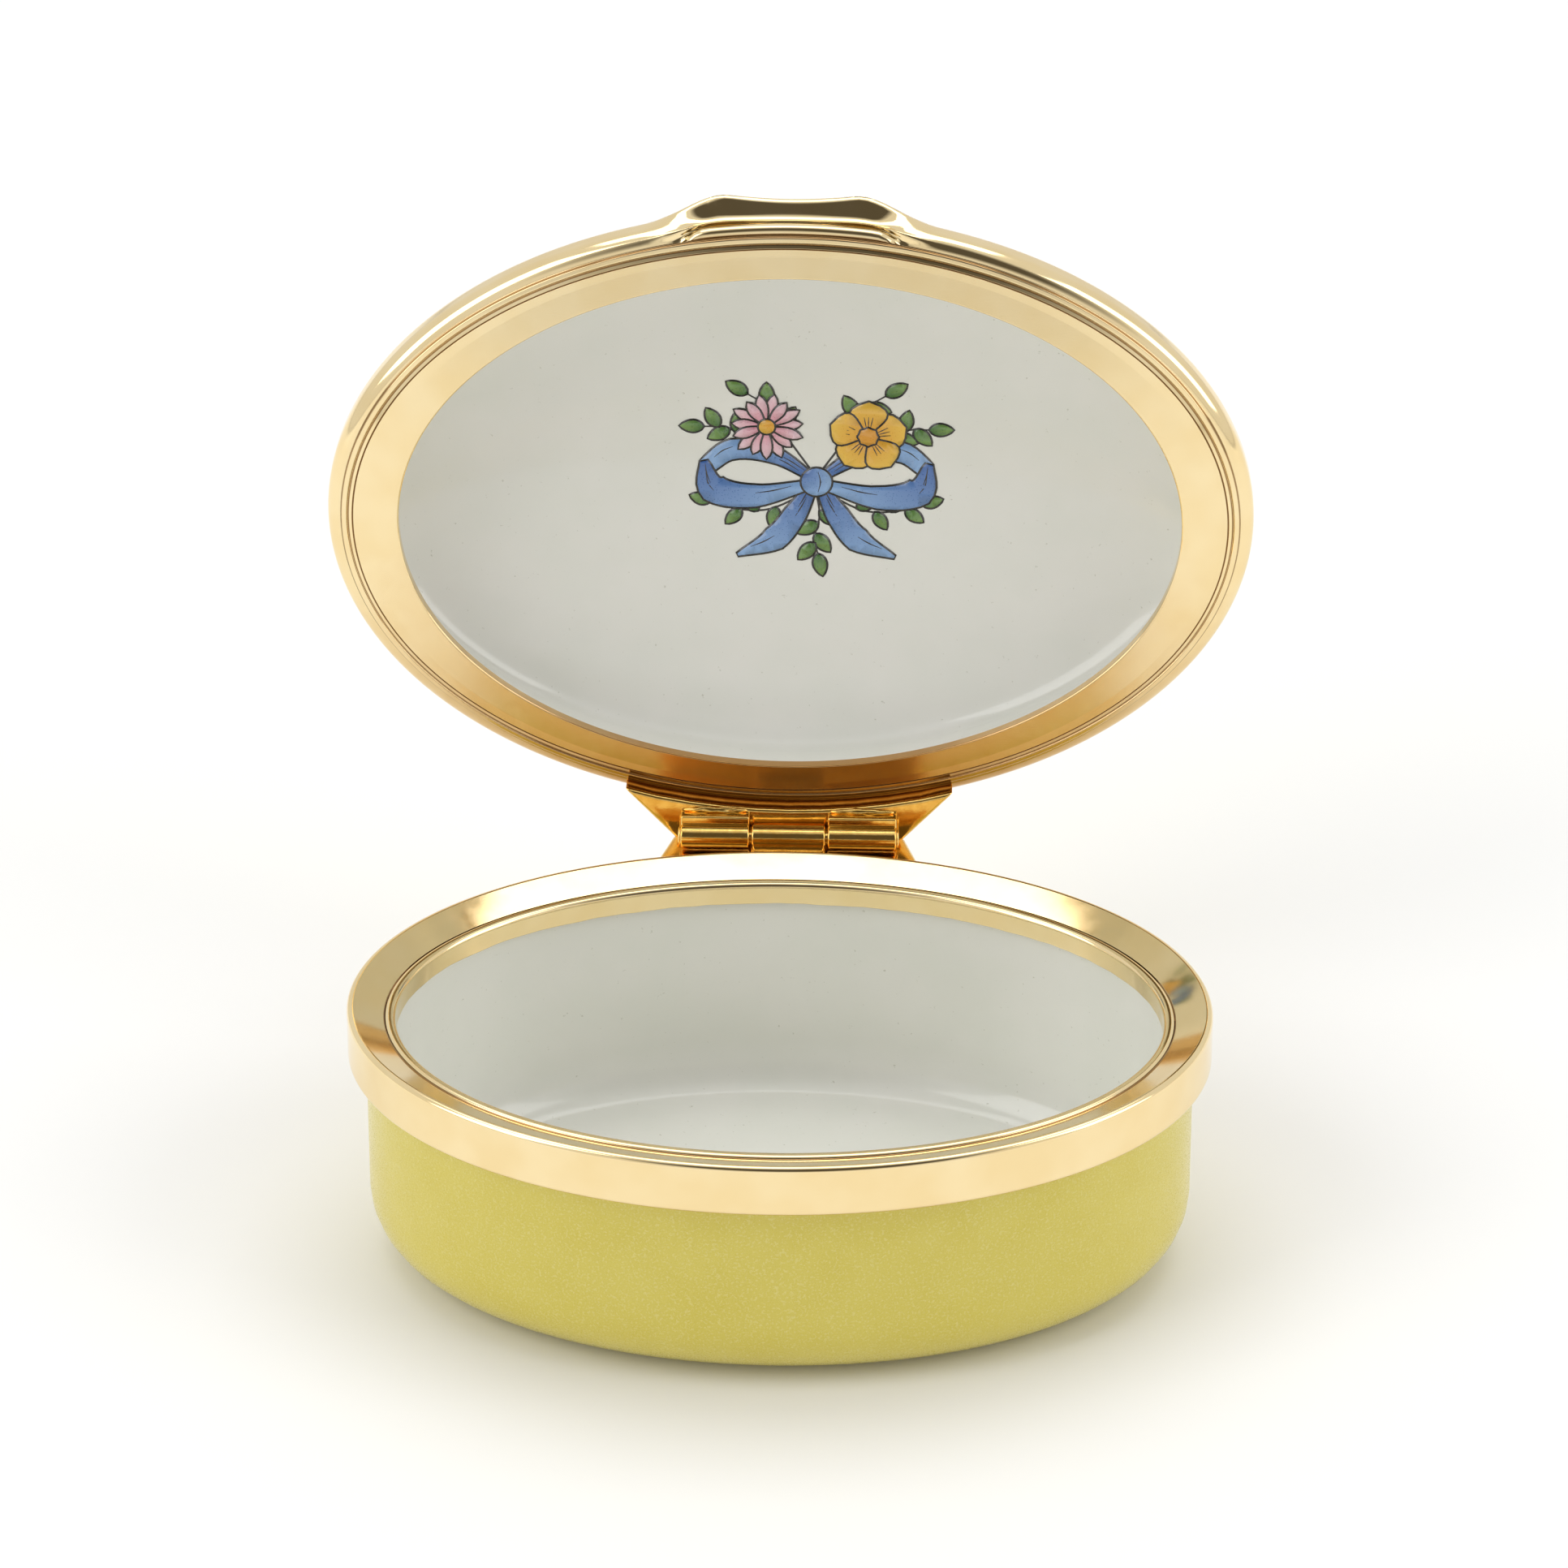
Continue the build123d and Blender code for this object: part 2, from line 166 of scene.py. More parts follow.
class Paint:
    """A material under construction."""

    def __init__(self, name, store=bpy.data.materials):
        self.material = store.new(name)
        self.material.use_nodes = True
        self.tree = self.material.node_tree
        self.tree.nodes.clear()

    def node(self, kind, settings=None, inputs=None, output=0):
        node = self.tree.nodes.new(kind)
        for name, value in (settings or {}).items():
            if name == "stops":
                ramp = node.color_ramp.elements
                while len(ramp) < len(value):
                    ramp.new(1.0)
                for stop, (place, colour) in zip(ramp, value):
                    stop.position, stop.color = place, (*colour, 1.0)
            else:
                setattr(node, name, value)
        for name, value in (inputs or {}).items():
            if isinstance(value, Signal):
                self.tree.links.new(value.socket, node.inputs[name])
            else:
                node.inputs[name].default_value = value
        return Signal(self, node.outputs[output]) if node.outputs else None

    def place(self, across=1.0, along=1.0, up=1.0):
        """Where the surface is, in millimetres, drawn out by a factor each way."""
        here = self.node("ShaderNodeTexCoord", output="Object")
        stretch = (across / mm, along / mm, up / mm)
        return self.node(
            "ShaderNodeMapping", {}, {"Vector": here, "Scale": stretch})

    def grain(self, where, scale, detail=3.0, roughness=0.5):
        return self.node("ShaderNodeTexNoise", {}, {
            "Vector": where, "Scale": scale, "Detail": detail, "Roughness": roughness})

    def spread(self, value, low, high, to_low=0.0, to_high=1.0):
        return self.node("ShaderNodeMapRange", {"clamp": True}, {
            "Value": value, "From Min": low, "From Max": high,
            "To Min": to_low, "To Max": to_high})

    def mix(self, share, one, other, blend="MIX"):
        return self.node(
            "ShaderNodeMix", {"data_type": "RGBA", "blend_type": blend},
            {0: share, 6: one, 7: other}, output=2)

    def relief(self, height, distance, strength=1.0):
        return self.node("ShaderNodeBump", {}, {
            "Height": height, "Distance": distance * mm, "Strength": strength})

    def surface(self, **sockets):
        named = {name.replace("_", " "): value for name, value in sockets.items()}
        shader = self.node("ShaderNodeBsdfPrincipled", {}, named)
        self.node("ShaderNodeOutputMaterial", {}, {"Surface": shader})
        return self


def rgb(red, green, blue):
    """A colour as a maker reads it off a chart, 0 to 255, in the light values of a shader."""
    return tuple(
        (level / 255 / 12.92) if level <= 10 else ((level / 255 + 0.055) / 1.055) ** 2.4
        for level in (red, green, blue)) + (1.0,)


def coloured_enamel():
    paint = Paint("coloured_enamel")
    where = paint.place()
    cloud = paint.grain(where, 0.35, 2.0)
    speck = paint.grain(where, 6.5, 2.0, 0.6)
    fine = paint.grain(where, 13.0, 2.0, 0.7)
    tone = paint.mix(
        paint.spread(cloud, 0.3, 0.7), rgb(210, 194, 84), rgb(213, 198, 92))
    tone = paint.mix(
        paint.spread(speck, 0.52, 0.68, 0.0, 0.6), tone, rgb(224, 214, 138))
    tone = paint.mix(paint.spread(fine, 0.55, 0.7, 0.0, 0.4), tone, rgb(190, 172, 62))
    ripple = paint.grain(where, 0.9, 2.0) + paint.grain(where, 3.0, 2.0) * 0.25
    return paint.surface(
        Base_Color=tone,
        Roughness=paint.spread(fine, 0.3, 0.7, 0.24, 0.34),
        Specular_IOR_Level=0.3,
        Coat_Weight=0.35,
        Coat_Roughness=0.08,
        Normal=paint.relief(ripple, 0.006),
    )


colour_coat = coloured_enamel()
base_axis = rim_width
coat_line = outline([
    (base_axis, 0, 0),
    (coat_inset, 0, corner_round),
    (coat_inset, coat_high.z, 0.1),
    (coat_inset + coat_wall, coat_high.z, 0.1),
    (coat_inset + coat_wall, coat_wall, corner_round - coat_wall),
    (base_axis, coat_wall, 0),
])
coat = turn_oval(coat_line, rim_width, base_oval)
finish_piece(
    coat, "base_coloured_coat", [colour_coat], "base", "coloured_enamel", "base_outer_enamel")

# ==== base: copper body ===============================================================
# Between the two coats of glass is the pressed copper cup that carries them. It doesn't
# show on the finished box. It is dull, from the fire.


def fired_copper():
    paint = Paint("fired_copper")
    where = paint.place()
    scale = paint.grain(where, 1.4, 4.0)
    tone = paint.mix(paint.spread(scale, 0.35, 0.65), rgb(184, 110, 78), rgb(120, 62, 48))
    return paint.surface(
        Base_Color=tone, Metallic=1.0, Roughness=paint.spread(scale, 0.3, 0.7, 0.35, 0.6),
        Normal=paint.relief(paint.grain(where, 5.0), 0.02))


copper = fired_copper()
for node in ("base_copper_body", "lid_copper_dome"):
    frame["nodes"][node].data.materials.clear()
    frame["nodes"][node].data.materials.append(copper.material)

# ==== base: white enamel lining =======================================================
# The inside of the base is white enamel with a trace of grey-green, glossy and a little
# uneven where it ran before it set, with a soft round between wall and floor.
lining_wall = 0.4
shell_wall = 1.45


def white_enamel():
    paint = Paint("white_enamel")
    where = paint.place()
    cloud = paint.grain(where, 0.22, 2.0)
    pit = paint.grain(where, 3.2, 2.0, 0.6)
    tone = paint.mix(
        paint.spread(cloud, 0.35, 0.65), rgb(230, 231, 223), rgb(233, 233, 226))
    tone = paint.mix(paint.spread(pit, 0.70, 0.78, 0.0, 0.5), tone, rgb(176, 176, 158))
    ripple = paint.grain(where, 0.5, 2.0) + paint.grain(where, 2.2, 2.0) * 0.12
    return paint.surface(
        Base_Color=tone,
        Roughness=paint.spread(cloud, 0.3, 0.7, 0.16, 0.22),
        Specular_IOR_Level=0.45,
        Coat_Weight=0.5,
        Coat_Roughness=0.04,
        Normal=paint.relief(ripple, 0.02),
    )


white_coat = white_enamel()
lining_inset = coat_inset + shell_wall
lining_line = outline([
    (base_axis, shell_wall - lining_wall, 0),
    (lining_inset - lining_wall, shell_wall - lining_wall, corner_round - shell_wall + lining_wall),
    (lining_inset - lining_wall, coat_high.z, 0.1),
    (lining_inset, coat_high.z, 0.1),
    (lining_inset, shell_wall, corner_round - shell_wall),
    (base_axis, shell_wall, 0),
])
lining = turn_oval(lining_line, rim_width, base_oval)
finish_piece(
    lining, "base_white_lining", [white_coat], "base", "white_enamel", "base_inner_enamel")

# ==== base: gilt rim ==================================================================
# A drawn brass band, turned over into a sloping land that the lid meets, a rounded bead
# and a lip inside the mouth. It is polished and gilt. The lip was dressed by hand to the
# enamel, so its lower edge wanders a little.
rim_top, rim_bottom = base_rim_high.z, base_rim_low.z
rim_edge = 0.3
land_inset = 2.25
land_foot = rim_top - 0.8
bead_top = land_foot + 0.12
mouth_inset = 2.95
lip_foot = bead_top - 1.45
lip_wander, wander_scale = 0.07, 0.9
dressed_height = lip_foot + 0.3          # below this, and this far in, the lip was dressed
dressed_share = 0.92
rim_roof = coat_high.z + 0.2
cement_inset, cement_low = 0.8, rim_bottom + 0.6
hinge = Vector(frame["joints"][0]["pos_m"]) / mm
gilt_light = rgb(248, 226, 178)
gilt_deep = rgb(244, 219, 166)
# Colour of the painted shade in the turned grooves.
groove_shade_brown = rgb(126, 84, 34)


def gilt(name, polish, wear=0.0, shaded_grooves=(), hinge_shade=0.0):
    """Gold over brass: bright, with hairlines from the polishing wheel. Painted shade darkens the
    turned grooves to brown and darkens and warms the gold towards the hinge."""
    paint = Paint(name)
    where = paint.place()
    cloud = paint.grain(where, 0.25, 2.0)
    hairs = paint.grain(paint.place(0.3, 0.3, 9.0), 2.0, 2.0)
    smear_and_shade_noise = paint.grain(where, 1.1, 3.0)
    tone = paint.mix(paint.spread(cloud, 0.35, 0.65), gilt_light, gilt_deep)
    to_hinge = paint.node(
        "ShaderNodeVectorMath", {"operation": "DISTANCE"},
        {0: where, 1: hinge}, "Value")
    # Painted shade: the gold is darkened and warmed towards the hinge, where the lid meets the
    # base, with a noisy edge.
    hinge_shade_share = paint.spread(to_hinge + smear_and_shade_noise * 6.0, 13.0, 35.0, hinge_shade, 0.0)
    tone = paint.mix(hinge_shade_share, tone, rgb(184, 122, 44))
    inset = paint.node("ShaderNodeAttribute", {"attribute_name": "across"}, output="Fac")
    # Painted shade: each turned groove is darkened to brown along its line.
    for shaded_groove in shaded_grooves:
        away = inset - shaded_groove
        tone = paint.mix(paint.spread(away * away, 0.0, 0.004, 0.85, 0.0), tone, groove_shade_brown)
    ripple = paint.grain(where, 0.3, 1.0) + hairs * (0.04 + wear)
    return paint.surface(
        Base_Color=tone,
        Metallic=1.0,
        Roughness=paint.spread(smear_and_shade_noise, 0.3, 0.7, polish, polish + 0.03),
        Normal=paint.relief(ripple, 0.006),
    )


# Painted shade in the crease at the foot of the land.
bright_gilt = gilt("bright_gilt", 0.07, shaded_grooves=(land_inset,))
rim_line = outline([
    (0, rim_bottom, 0.3),
    (0, rim_top, rim_edge),
    (0.4, rim_top, 0.06),
    (land_inset, land_foot, 0.05),
    (land_inset + 0.02, bead_top, 0.28),
    (mouth_inset, bead_top, 0.3),
    (mouth_inset, lip_foot, 0.1),
    (lining_inset, lip_foot, 0.04),
    (lining_inset, rim_roof, 0),
    (cement_inset, rim_roof, 0),
    (cement_inset, cement_low, 0),
    (coat_inset, cement_low, 0),
    (coat_inset, rim_bottom, 0.08),
], closed=True)
base_rim = turn_oval(rim_line, rim_width, base_oval, closed=True)
for vert in base_rim.verts:
    share_out = math.hypot(vert.co.x / rim_width, vert.co.y / rim_depth)
    if vert.co.z < dressed_height and share_out < dressed_share:
        vert.co.z += lip_wander * noise.noise(vert.co * wander_scale)
finish_piece(base_rim, "base_gilt_rim", [bright_gilt], "base", "gilt_brass", "base_bezel")

# ==== cement ==========================================================================
# Each enamelled shell is bedded in its rim with a pale grey cement, which doesn't show.


def bedding():
    paint = Paint("bedding_cement")
    grit = paint.grain(paint.place(), 4.0, 4.0)
    tone = paint.mix(grit, rgb(150, 147, 138), rgb(196, 192, 182))
    return paint.surface(
        Base_Color=tone, Roughness=0.85, Normal=paint.relief(grit, 0.08))


cement = bedding()
for node in ("base_cement", "lid_cement"):
    frame["nodes"][node].data.materials.clear()
    frame["nodes"][node].data.materials.append(cement.material)

# ==== lid: coloured enamel, white lining ==============================================
# The lid is the same copper and glass, domed. It is shaped here as it sits on the base,
# and swung open about the hinge as the last step.
open_angle = math.radians(frame["joints"][0]["range_deg"][1])
lid_rim_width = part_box("lid_bezel")[1].x / mm
lid_rim_depth = lid_rim_width - (rim_width - rim_depth)
lid_line_up = rim_top + 0.4
lid_shell_wall = 1.15
shell_inset = 2.05
shell_foot = lid_line_up + 0.55
shoulder = shell_foot + 1.9
dome_height = 4.9
dome_steps = 40


def swing_open(mesh_data):
    """Turns what was shaped on the shut lid to where it stands with the lid open."""
    bmesh.ops.rotate(
        mesh_data, cent=hinge, matrix=Matrix.Rotation(-open_angle, 3, "X"),
        verts=mesh_data.verts)


def dome_line(skin, thickness):
    """The section of one coat of the lid, from its edge up to the crown and back."""
    line = []
    for depth, way in ((skin, 1), (skin + thickness, -1)):
        width = lid_rim_width - shell_inset - depth
        rise = dome_height - depth
        arc = [Vector((lid_rim_width - width, shell_foot))]
        for step in range(dome_steps + 1):
            angle = math.pi / 2 * step / dome_steps
            arc.append(Vector((
                lid_rim_width - width * math.cos(angle), shoulder + rise * math.sin(angle))))
        line += arc[::way]
    return line


def dome_oval(skin):
    """The shell's ovals keep their shape from its edge to its crown."""
    width = lid_rim_width - shell_inset - skin
    depth = lid_rim_depth - shell_inset - skin
    return lambda inset, height: depth / width


def lid_coat(name, skin, thickness, paint, slot, node):
    coat = turn_oval(dome_line(skin, thickness), lid_rim_width, dome_oval(skin))
    swing_open(coat)
    finish_piece(coat, name, [paint], "lid", slot, node)


lid_coat("lid_coloured_coat", 0, coat_wall, colour_coat, "coloured_enamel", "lid_outer_enamel")
lid_coat(
    "lid_white_lining", lid_shell_wall - lining_wall, lining_wall, white_coat, "white_enamel",
    "lid_inner_enamel")

# ==== lid: gilt rim ===================================================================
# The lid's rim is turned all over: a satin land with the tool's fine rings, a turned
# line, a small bead between two grooves, and a full round band, polished. At the front
# the band swells into a two-lobed thumb piece over a hollow for the nail.
line_inset = 1.6
land_width, land_depth = 2.87, 1.85
lid_mouth_inset = line_inset + land_width
lid_seat = lid_line_up + 0.35
land_face = lid_line_up - 0.4
band_top = lid_line_up + 3.15
band_round = 1.15
band_foot = lid_line_up + 0.34
cement_top = band_top - 0.6
lobe_pitch, lobe_reach, lobe_dip = 8.0, 1.0, 0.48
lobe_root = 8.5
hollow_end = 7.4
thumb_end = 10.5
hollow_run_out = 2.4         # over this length the hollow fades out at each end
valley_blend, foot_blend, flank_start = 0.10, 0.06, 1.08
section_points = 40


def lid_rim_oval(inset, height):
    """Depth over width of the lid rim's ovals. The land is narrower at front and back."""
    inset_in_depth = inset
    if height < lid_seat + 0.01 and inset > line_inset:
        inset_in_depth = line_inset + (inset - line_inset) * land_depth / land_width
    return (lid_rim_depth - inset_in_depth) / (lid_rim_width - inset)


def evenly(line, count):
    """The same line drawn with points at even distances."""
    lengths = [0.0]
    for start, end in zip(line, line[1:]):
        lengths.append(lengths[-1] + (end - start).length)
    points, leg = [], 0
    for step in range(count):
        goal = lengths[-1] * step / (count - 1)
        while leg < len(line) - 2 and lengths[leg + 1] < goal:
            leg += 1
        share = (goal - lengths[leg]) / max(lengths[leg + 1] - lengths[leg], 1e-9)
        points.append(line[leg].lerp(line[leg + 1], min(share, 1.0)))
    return points


band_start, band_end = (0.82, band_foot, 0), (1.2, band_top, 0)
plain_band = evenly(outline([
    band_start, (0.0, band_foot - 0.12, 0.95), (0, band_top, band_round), band_end,
]), section_points)
hollow_band = evenly(outline([
    band_start, (0.25, band_foot + 0.02, 0.35), (0.28, band_foot + 0.85, 0.35),
    (0.95, band_foot + 1.28, 0.6), (0.0, band_foot + 2.25, 0.45), (0, band_top, 0.5), band_end,
]), section_points)
lobed_band = evenly(outline([
    band_start, (0.25, band_foot + 0.02, 0.35), (0.28, band_foot + 0.85, 0.35),
    (0.95, band_foot + 1.28, 0.6), (-lobe_reach, band_foot + 2.2, 0.32),
    (-lobe_reach, band_top, 0.45), band_end,
]), section_points)


def soft_least(values, blend):
    """The least of the values, with the corners between them rounded."""
    return -blend * math.log(sum(math.exp(-value / blend) for value in values))


def thumb_swell(x):
    """How far the thumb piece stands out at x, as a share of its lobes."""
    from_middle = abs(x) / (lobe_pitch / 2)
    valley = 1 - lobe_dip * (1 - from_middle ** 2)
    flank = (lobe_root - abs(x)) / (lobe_root - lobe_pitch / 2) * flank_start
    swell = soft_least([valley, flank], valley_blend)
    return foot_blend * math.log(1 + math.exp(min(swell / foot_blend, 50)))


def hollow_share(x):
    """How much of the nail hollow there is at x."""
    inside = max(0.0, min(1.0, (hollow_end - abs(x)) / hollow_run_out))
    return inside * inside * (3 - 2 * inside)


lid_rim_line = [
    *outline([
        (1.5, band_top, 0),
        (1.85, band_top, 0.15),
        (shell_inset + 0.07, cement_top + 0.1, 0),
        (shell_inset, cement_top, 0),
        (1.75, cement_top, 0),
        (1.75, lid_seat, 0),
        (lid_mouth_inset, lid_seat, 0.05),
        (lid_mouth_inset, land_face, 0.12),
        (2.35, lid_line_up - 0.1, 2.2),
        (line_inset + 0.05, lid_line_up - 0.03, 0.02),
        (line_inset, lid_line_up + 0.06, 0.02),
        (line_inset - 0.05, lid_line_up - 0.01, 0.02),
        (1.33, lid_line_up + 0.08, 0.02),
        (1.28, lid_line_up + 0.2, 0.03),
        (1.24, lid_line_up + 0.06, 0.1),
        (0.90, lid_line_up + 0.12, 0.12),
        (0.86, lid_line_up + 0.42, 0.03),
    ]),
    *plain_band,
]
lid_rim = turn_oval(lid_rim_line, lid_rim_width, lid_rim_oval, closed=True)
order = lid_rim.verts.layers.int["order"]
first_of_band = len(lid_rim_line) - section_points
for vert in lid_rim.verts:
    stop = vert[order] - first_of_band
    if stop < 0 or vert.co.y > 0 or abs(vert.co.x) > thumb_end:
        continue
    plain, hollow, lobed = plain_band[stop], hollow_band[stop], lobed_band[stop]
    shaped = plain + hollow_share(vert.co.x) * (hollow - plain)
    shaped = shaped + thumb_swell(vert.co.x) * (lobed - hollow)
    vert.co.x *= (lid_rim_width - shaped.x) / (lid_rim_width - plain.x)
    vert.co.y *= (lid_rim_depth - shaped.x) / (lid_rim_depth - plain.x)
    vert.co.z = shaped.y
turned_lines = (line_inset, line_inset - 0.27, 0.88)
# The lid rim's gilts carry painted shade towards the hinge.
lid_gilt = gilt("lid_gilt", 0.07, hinge_shade=0.75)
# This gilt also has painted shade in the turned lines.
groove_shaded_gilt = gilt("groove_shaded_gilt", 0.07, shaded_grooves=turned_lines, hinge_shade=0.75)
satin_gilt = gilt("satin_gilt", 0.2, 0.1, hinge_shade=0.6)
satin_from, satin_to = line_inset + 0.06, lid_mouth_inset - 0.1
across = lid_rim.verts.layers.float["across"]
satin_below = lid_seat - 0.1
for face in lid_rim.faces:
    if all(satin_from < vert[across] < satin_to and vert.co.z < satin_below
           for vert in face.verts):
        face.material_index = 1
    elif all(vert[across] < satin_to and vert.co.z < band_foot + 0.1 for vert in face.verts):
        face.material_index = 2
swing_open(lid_rim)
finish_piece(
    lid_rim, "lid_gilt_rim", [lid_gilt, satin_gilt, groove_shaded_gilt], "lid", "gilt_brass",
    "lid_bezel")

# ==== lid: printed posy ================================================================
# A transfer of a small posy is fired into the white enamel inside the lid: a pink daisy and
# a yellow blossom with green sprigs, tied with a blue ribbon. Each shape is a flat patch of
# stippled colour on a slightly larger patch of dark ink, which leaves the drawn line.
posy_middle = Vector((1.5, -0.25))
ink_line = 0.11
fill_trim = 0.02
print_lift, print_layer = 0.010, 0.006   # each later shape lies a layer over the earlier
print_cell = 0.9             # patches are cut to cells this size, to lie on the dome
lining_width = lid_rim_width - shell_inset - lid_shell_wall
lining_depth = lid_rim_depth - shell_inset - lid_shell_wall
lining_rise = dome_height - lid_shell_wall


def printed(name, near, far, dots):
    """Printing colour: a wash that changes along each shape, with stippled dots on it."""
    paint = Paint(name)
    where = paint.place()
    tone = paint.node("ShaderNodeAttribute", {"attribute_name": "tone"}, output="Fac")
    cells = paint.node(
        "ShaderNodeTexVoronoi", {"feature": "F1"}, {"Vector": where, "Scale": 7.0})
    stipple = paint.spread(cells + tone * 0.16, 0.22, 0.34, 0.7, 0.0)
    return paint.surface(
        Base_Color=paint.mix(stipple, paint.mix(tone, near, far), dots),
        Roughness=paint.spread(paint.grain(where, 2.0), 0.3, 0.7, 0.18, 0.26),
        Coat_Weight=0.5,
        Coat_Roughness=0.05,
    )


inks = {
    "ink": printed("print_ink", rgb(38, 38, 36), rgb(52, 50, 46), rgb(30, 30, 30)),
    "pink": printed("print_pink", rgb(214, 128, 146), rgb(236, 206, 214), rgb(196, 108, 132)),
    "blue": printed("print_blue", rgb(58, 100, 168), rgb(140, 176, 220), rgb(44, 84, 150)),
    "yellow": printed("print_yellow", rgb(216, 146, 40), rgb(238, 194, 80), rgb(206, 130, 30)),
    "green": printed("print_green", rgb(58, 104, 50), rgb(128, 164, 88), rgb(40, 80, 44)),
}
patches = {name: bmesh.new() for name in inks}
for patch in patches.values():
    patch.verts.layers.float.new("tone")


def widened(loop, by):
    """A closed outline moved outwards, or inwards where by is negative."""
    area = sum(a.x * b.y - b.x * a.y for a, b in zip(loop, loop[1:] + loop[:1]))
    side = by if area > 0 else -by
    moved = []
    for place, here in enumerate(loop):
        along = (loop[(place + 1) % len(loop)] - loop[place - 1]).normalized()
        moved.append(here + Vector((along.y, -along.x)) * side)
    return moved


def join(target, other):
    """Adds one solid to another."""
    carrier = bpy.data.meshes.new("carrier")
    other.to_mesh(carrier)
    other.free()
    target.from_mesh(carrier)
    bpy.data.meshes.remove(carrier)


def lay_patch(colour, loop, lift, start, reach):
    """One flat patch of a colour, laid on the dome of the lining. Its tone runs from 0 at
    start to 1 at reach away from it."""
    cut = bmesh.new()
    tone = cut.verts.layers.float.new("tone")
    cut.faces.new([cut.verts.new((point.x, point.y, 0)) for point in loop])
    bmesh.ops.triangulate(cut, faces=cut.faces)
    for axis in (0, 1):
        values = [point[axis] / print_cell for point in loop]
        normal = Vector((1 - axis, axis, 0))
        for step in range(math.ceil(min(values)), math.floor(max(values)) + 1):
            bmesh.ops.bisect_plane(
                cut, geom=cut.verts[:] + cut.edges[:] + cut.faces[:],
                plane_co=normal * step * print_cell, plane_no=normal)
    grown = bmesh.ops.extrude_face_region(cut, geom=cut.faces[:])
    under = {item for item in grown["geom"] if isinstance(item, bmesh.types.BMVert)}
    for vert in cut.verts:
        vert[tone] = min((vert.co.xy - start).length / reach, 1.0)
        x, y = posy_middle.x + vert.co.x, posy_middle.y - vert.co.y
        crown = math.sqrt(1 - (x / lining_width) ** 2 - (y / lining_depth) ** 2)
        rise = -print_lift if vert in under else lift
        vert.co = (x, y, shoulder + lining_rise * crown - rise)
    bmesh.ops.recalc_face_normals(cut, faces=cut.faces)
    join(patches[colour], cut)


def draw(colour, loop, start, reach, layer):
    """A shape with its drawn line, over whatever lies in a lower layer."""
    lift = print_lift + layer * print_layer
    lay_patch("ink", widened(loop, ink_line), lift, start, reach)
    lay_patch(colour, widened(loop, -fill_trim), lift + print_layer / 2, start, reach)


def stroke(points, width, layer):
    """A drawn line that comes to a point at both ends."""
    lay_patch(
        "ink", band(points, [0.03, width, 0.03]), print_lift + (layer + 0.7) * print_layer,
        Vector(points[0]), 1.0)


def along_curve(points, steps=6):
    """A smooth line through the points."""
    points = [Vector(point) for point in points]
    ends = [points[0] * 2 - points[1], *points, points[-1] * 2 - points[-2]]
    line = []
    for before, start, end, after in zip(ends, ends[1:], ends[2:], ends[3:]):
        for step in range(steps):
            t = step / steps
            line.append(0.5 * (
                2 * start + (end - before) * t + (2 * before - 5 * start + 4 * end - after) * t ** 2
                + (3 * start - before - 3 * end + after) * t ** 3))
    return line + [points[-1]]


def band(points, widths):
    """A ribbon along a curve, with its width given at each point of the curve."""
    line = along_curve(points)
    left, right = [], []
    for place, here in enumerate(line):
        ahead = line[min(place + 1, len(line) - 1)] - line[max(place - 1, 0)]
        across = Vector((-ahead.y, ahead.x)).normalized()
        where = place / (len(line) - 1) * (len(widths) - 1)
        low = min(int(where), len(widths) - 2)
        half = (widths[low] + (widths[low + 1] - widths[low]) * (where - low)) / 2
        left.append(here + across * half)
        right.append(here - across * half)
    return left + right[::-1]


def leaf(base, angle, length, width, point=1.0):
    """A petal or leaf that grows from base; point over 1 narrows its tip."""
    way = Vector((math.cos(angle), math.sin(angle)))
    side = Vector((-way.y, way.x))
    steps = 9
    edge = []
    for turn in (1, -1):
        for step in range(steps):
            share = step / steps if turn == 1 else 1 - step / steps
            swell = math.sin(math.pi * share ** point) ** 0.8 * width / 2
            edge.append(Vector(base) + way * length * share + side * swell * turn)
    return edge


def disc(centre, radius, waves=0, depth=0.0):
    """A round or wavy-edged spot."""
    steps = 24
    return [
        Vector(centre) + radius * (1 + depth * math.cos(waves * math.tau * step / steps))
        * Vector((math.cos(math.tau * step / steps), math.sin(math.tau * step / steps)))
        for step in range(steps)]


def sprig(points, size):
    """A stem with small pointed leaves on alternate sides and one at its tip."""
    stem = along_curve(points)
    lay_patch("ink", band(points, [0.14, 0.10]), print_lift, stem[0], 1.0)
    sides = ((5, 0.9), (8, -0.9), (11, 0.9), (14, -0.9), (len(stem) - 1, 0.0))
    for number, (place, turn) in enumerate(sides):
        here, before = stem[min(place, len(stem) - 1)], stem[min(place, len(stem) - 1) - 1]
        way = math.atan2(here.y - before.y, here.x - before.x) + turn
        draw("green", leaf(here, way, size, size * 0.55, 0.85), here, size, 1 + number % 2)


def across_middle(points, way):
    """Points drawn on the right, taken to the left where way is -1."""
    return [(x * way, y) for x, y in points]


for way in (-1, 1):
    sprig(across_middle([(0.2, 0.3), (1.9, 2.9), (2.6, 4.6), (4.3, 5.8)], way), 1.55)
    sprig(across_middle([(0.6, 0.3), (4.2, 2.6), (5.6, 3.4), (7.0, 3.5)], way), 1.5)
    sprig(across_middle([(0.5, -1.0), (2.9, -2.2), (5.0, -2.2), (6.6, -1.7)], way), 1.35)
sprig([(0.0, -1.0), (0.2, -2.6), (-0.1, -4.1), (0.1, -5.2)], 1.5)

